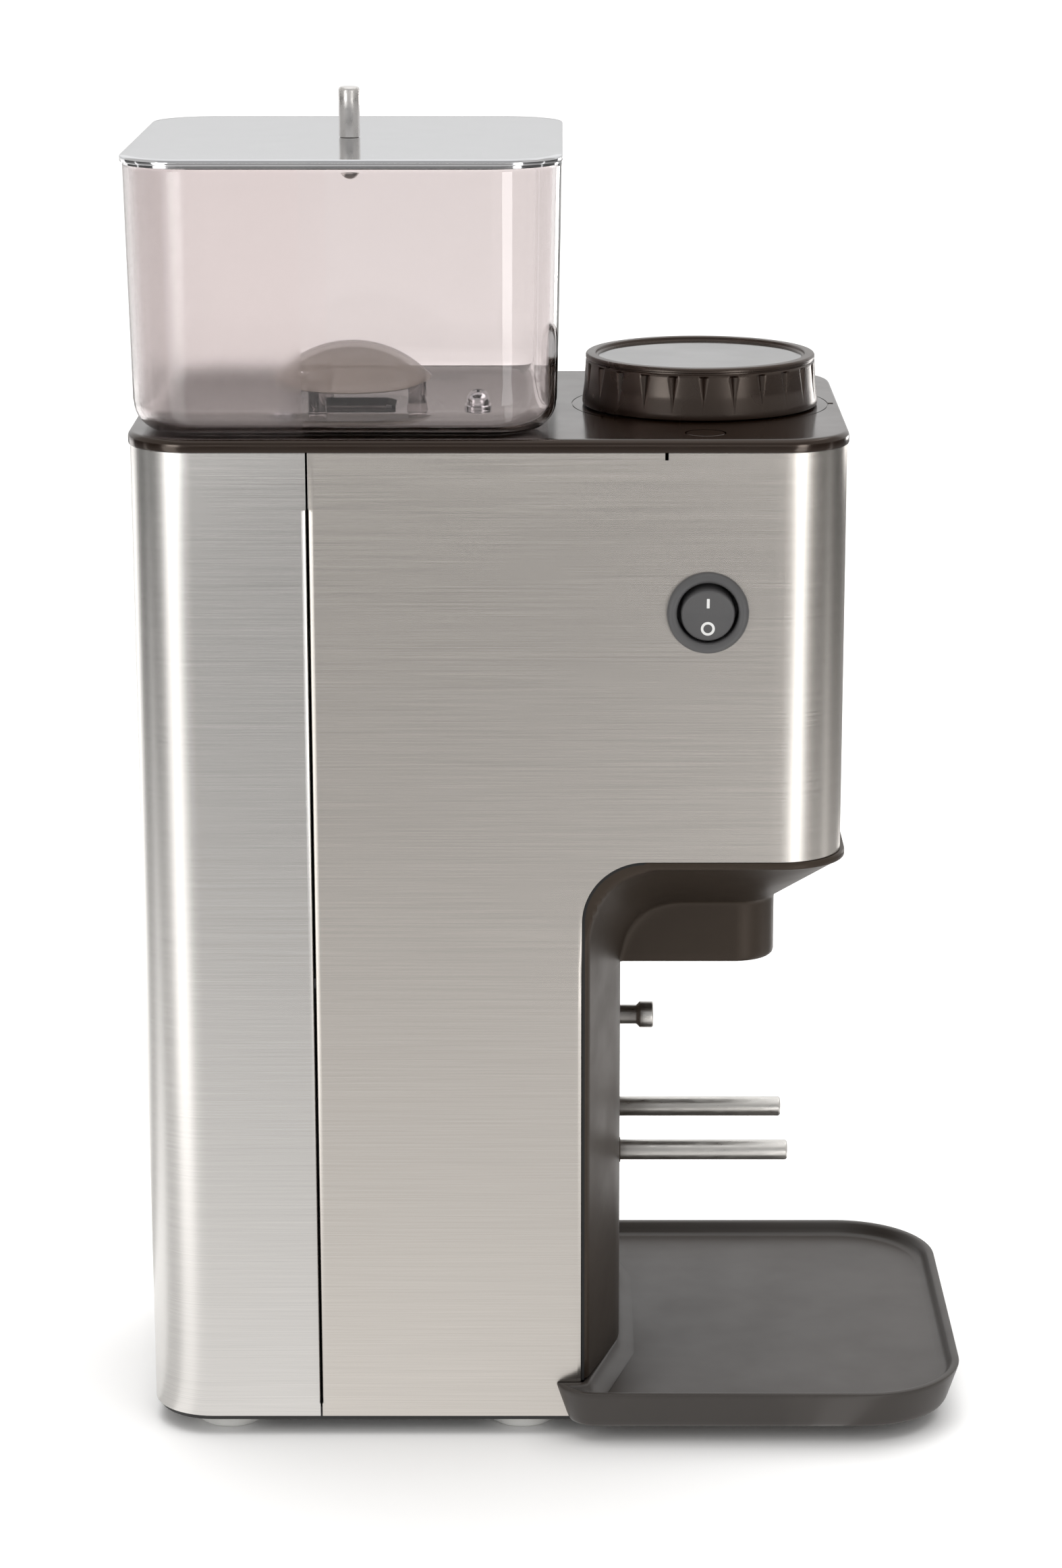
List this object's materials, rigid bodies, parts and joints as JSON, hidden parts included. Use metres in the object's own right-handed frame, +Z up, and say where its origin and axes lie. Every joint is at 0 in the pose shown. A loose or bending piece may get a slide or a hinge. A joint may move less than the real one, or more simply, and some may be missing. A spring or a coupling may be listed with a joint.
{
  "type": "burr coffee grinder",
  "caption": "Upright burr coffee grinder with a smoked bean hopper, grind knob, rocker switch, holder fork with dosing button and slide-out tray.",
  "frame": {"origin": "on the floor, below the middle of the whole object's box", "axes": "+X to the front, where the tray is; +Y to the object's left; +Z up"},
  "size_m": [0.24, 0.145, 0.3872],
  "materials": {
    "front_steel": "horizontally brushed, warm satin",
    "rear_steel": "horizontally brushed, satin",
    "zinc_steel": "plain zinc-plated steel",
    "bearing_steel": "ground bright steel",
    "burr_steel": "hardened ground steel",
    "rod_steel": "polished stainless steel",
    "screw_chrome": "polished stainless steel",
    "lid_metal": "bright polished metal",
    "top_plastic": "glossy moulded dark brown plastic",
    "trim_plastic": "satin moulded dark brown plastic",
    "tray_plastic": "satin moulded dark brown plastic",
    "knob_plastic": "lightly textured semi-gloss dark brown plastic",
    "knob_disc": "glossy disc that mirrors the light",
    "switch_plastic": "fine-textured dark plastic",
    "black_plastic": "moulded black plastic",
    "milky_plastic": "natural moulded plastic",
    "milky_rubber": "translucent white silicone",
    "circuit_board": "green solder mask",
    "magnet": "dark sintered ferrite and carbon",
    "winding": "copper winding on laminated steel",
    "gear_brass": "machined brass",
    "smoked_plastic": "lightly smoked clear plastic, frosted over its rear part"
  },
  "bodies": {
    "frame": {"base_plate": "black_plastic", "foot_rear_left": "milky_rubber", "foot_rear_right": "milky_rubber", "foot_front_left": "milky_rubber", "foot_front_right": "milky_rubber", "frame_screws": "zinc_steel", "rear_cover": "rear_steel", "front_cover": "front_steel", "top_cover": "top_plastic", "front_trim": "trim_plastic", "index_plug": "top_plastic", "cord_gland": "black_plastic", "gland_nut": "black_plastic", "terminal_block": "milky_plastic", "control_board": "circuit_board", "chassis_posts": "zinc_steel", "chassis_plate": "zinc_steel", "motor_can": "zinc_steel", "motor_end_cap": "black_plastic", "motor_magnets": "magnet", "motor_brushes": "magnet", "gearbox_housing": "black_plastic", "gearbox_lid": "black_plastic", "lay_shaft": "zinc_steel", "lower_bearing": "bearing_steel", "upper_bearing": "bearing_steel", "chamber_posts": "zinc_steel", "grind_chamber": "black_plastic", "idler_pin": "zinc_steel", "grounds_chute": "black_plastic", "hopper": "smoked_plastic", "hopper_seal": "milky_rubber", "hopper_screws": "screw_chrome", "bean_guard": "smoked_plastic", "switch_housing": "switch_plastic", "fork_bracket": "zinc_steel", "fork_rods": "rod_steel", "button_spring": "bearing_steel", "button_guide": "milky_plastic", "micro_switch": "black_plastic"},
    "knob": {"knob_gear": "black_plastic", "grind_knob": "knob_plastic", "knob_cap": "knob_disc", "knob_screw": "zinc_steel"},
    "idler": {"idler_gear": "black_plastic"},
    "carrier": {"burr_carrier": "black_plastic", "upper_burr": "burr_steel"},
    "burr": {"drive_shaft": "bearing_steel", "lower_burr": "burr_steel", "sweeper": "gear_brass", "output_gear": "gear_brass", "burr_nut": "zinc_steel"},
    "lay": {"lay_gear": "gear_brass"},
    "rotor": {"motor_rotor": "winding"},
    "rocker": {"switch_rocker": "switch_plastic"},
    "button": {"dose_button": "rod_steel"},
    "lid": {"hopper_lid": "lid_metal", "lid_pin": "screw_chrome", "lid_screw": "screw_chrome"},
    "tray": {"tray": "tray_plastic"}
  },
  "joints": [
    {"name": "knob_turn", "type": "hinge", "parent": "frame", "child": "knob", "pos_m": [0.0415, 0, 0.29], "axis": [0, 0, 1], "range_deg": [-135, 135]},
    {"name": "idler_turn", "type": "hinge", "parent": "frame", "child": "idler", "pos_m": [-0.00885, 0, 0.2855], "axis": [0, 0, 1], "range_deg": [-203, 203]},
    {"name": "carrier_turn", "type": "hinge", "parent": "frame", "child": "carrier", "pos_m": [-0.0592, 0, 0.2855], "axis": [0, 0, 1], "range_deg": [-136, 136]},
    {"name": "motor_spin", "type": "hinge", "parent": "frame", "child": "rotor", "pos_m": [-0.0592, 0, 0.09], "axis": [0, 0, 1], "continuous": true},
    {"name": "lay_spin", "type": "hinge", "parent": "frame", "child": "lay", "pos_m": [-0.0592, 0.028, 0.15], "axis": [0, 0, 1], "continuous": true},
    {"name": "burr_spin", "type": "hinge", "parent": "frame", "child": "burr", "pos_m": [-0.0592, 0, 0.25], "axis": [0, 0, 1], "continuous": true},
    {"name": "rocker_tilt", "type": "hinge", "parent": "frame", "child": "rocker", "pos_m": [0.0422, -0.0612, 0.2476], "axis": [-1, 0, 0], "range_deg": [0, 22]},
    {"name": "button_press", "type": "slide", "parent": "frame", "child": "button", "axis": [-1, 0, 0], "range_m": [0, 0.003], "stiffness_N_per_m": 400, "springref_m": -0.002, "deforming": ["button_spring"]},
    {"name": "lid_lift", "type": "slide", "parent": "frame", "child": "lid", "axis": [0, 0, 1], "range_m": [0, 0.06]},
    {"name": "tray_slide", "type": "slide", "parent": "frame", "child": "tray", "axis": [1, 0, 0], "range_m": [0, 0.08]}
  ],
  "couplings": [
    {"joint": "idler_turn", "follows": "knob_turn", "ratio": -1.5},
    {"joint": "carrier_turn", "follows": "knob_turn", "ratio": 1},
    {"joint": "lay_spin", "follows": "motor_spin", "ratio": -0.33333},
    {"joint": "burr_spin", "follows": "motor_spin", "ratio": 0.11111}
  ]
}
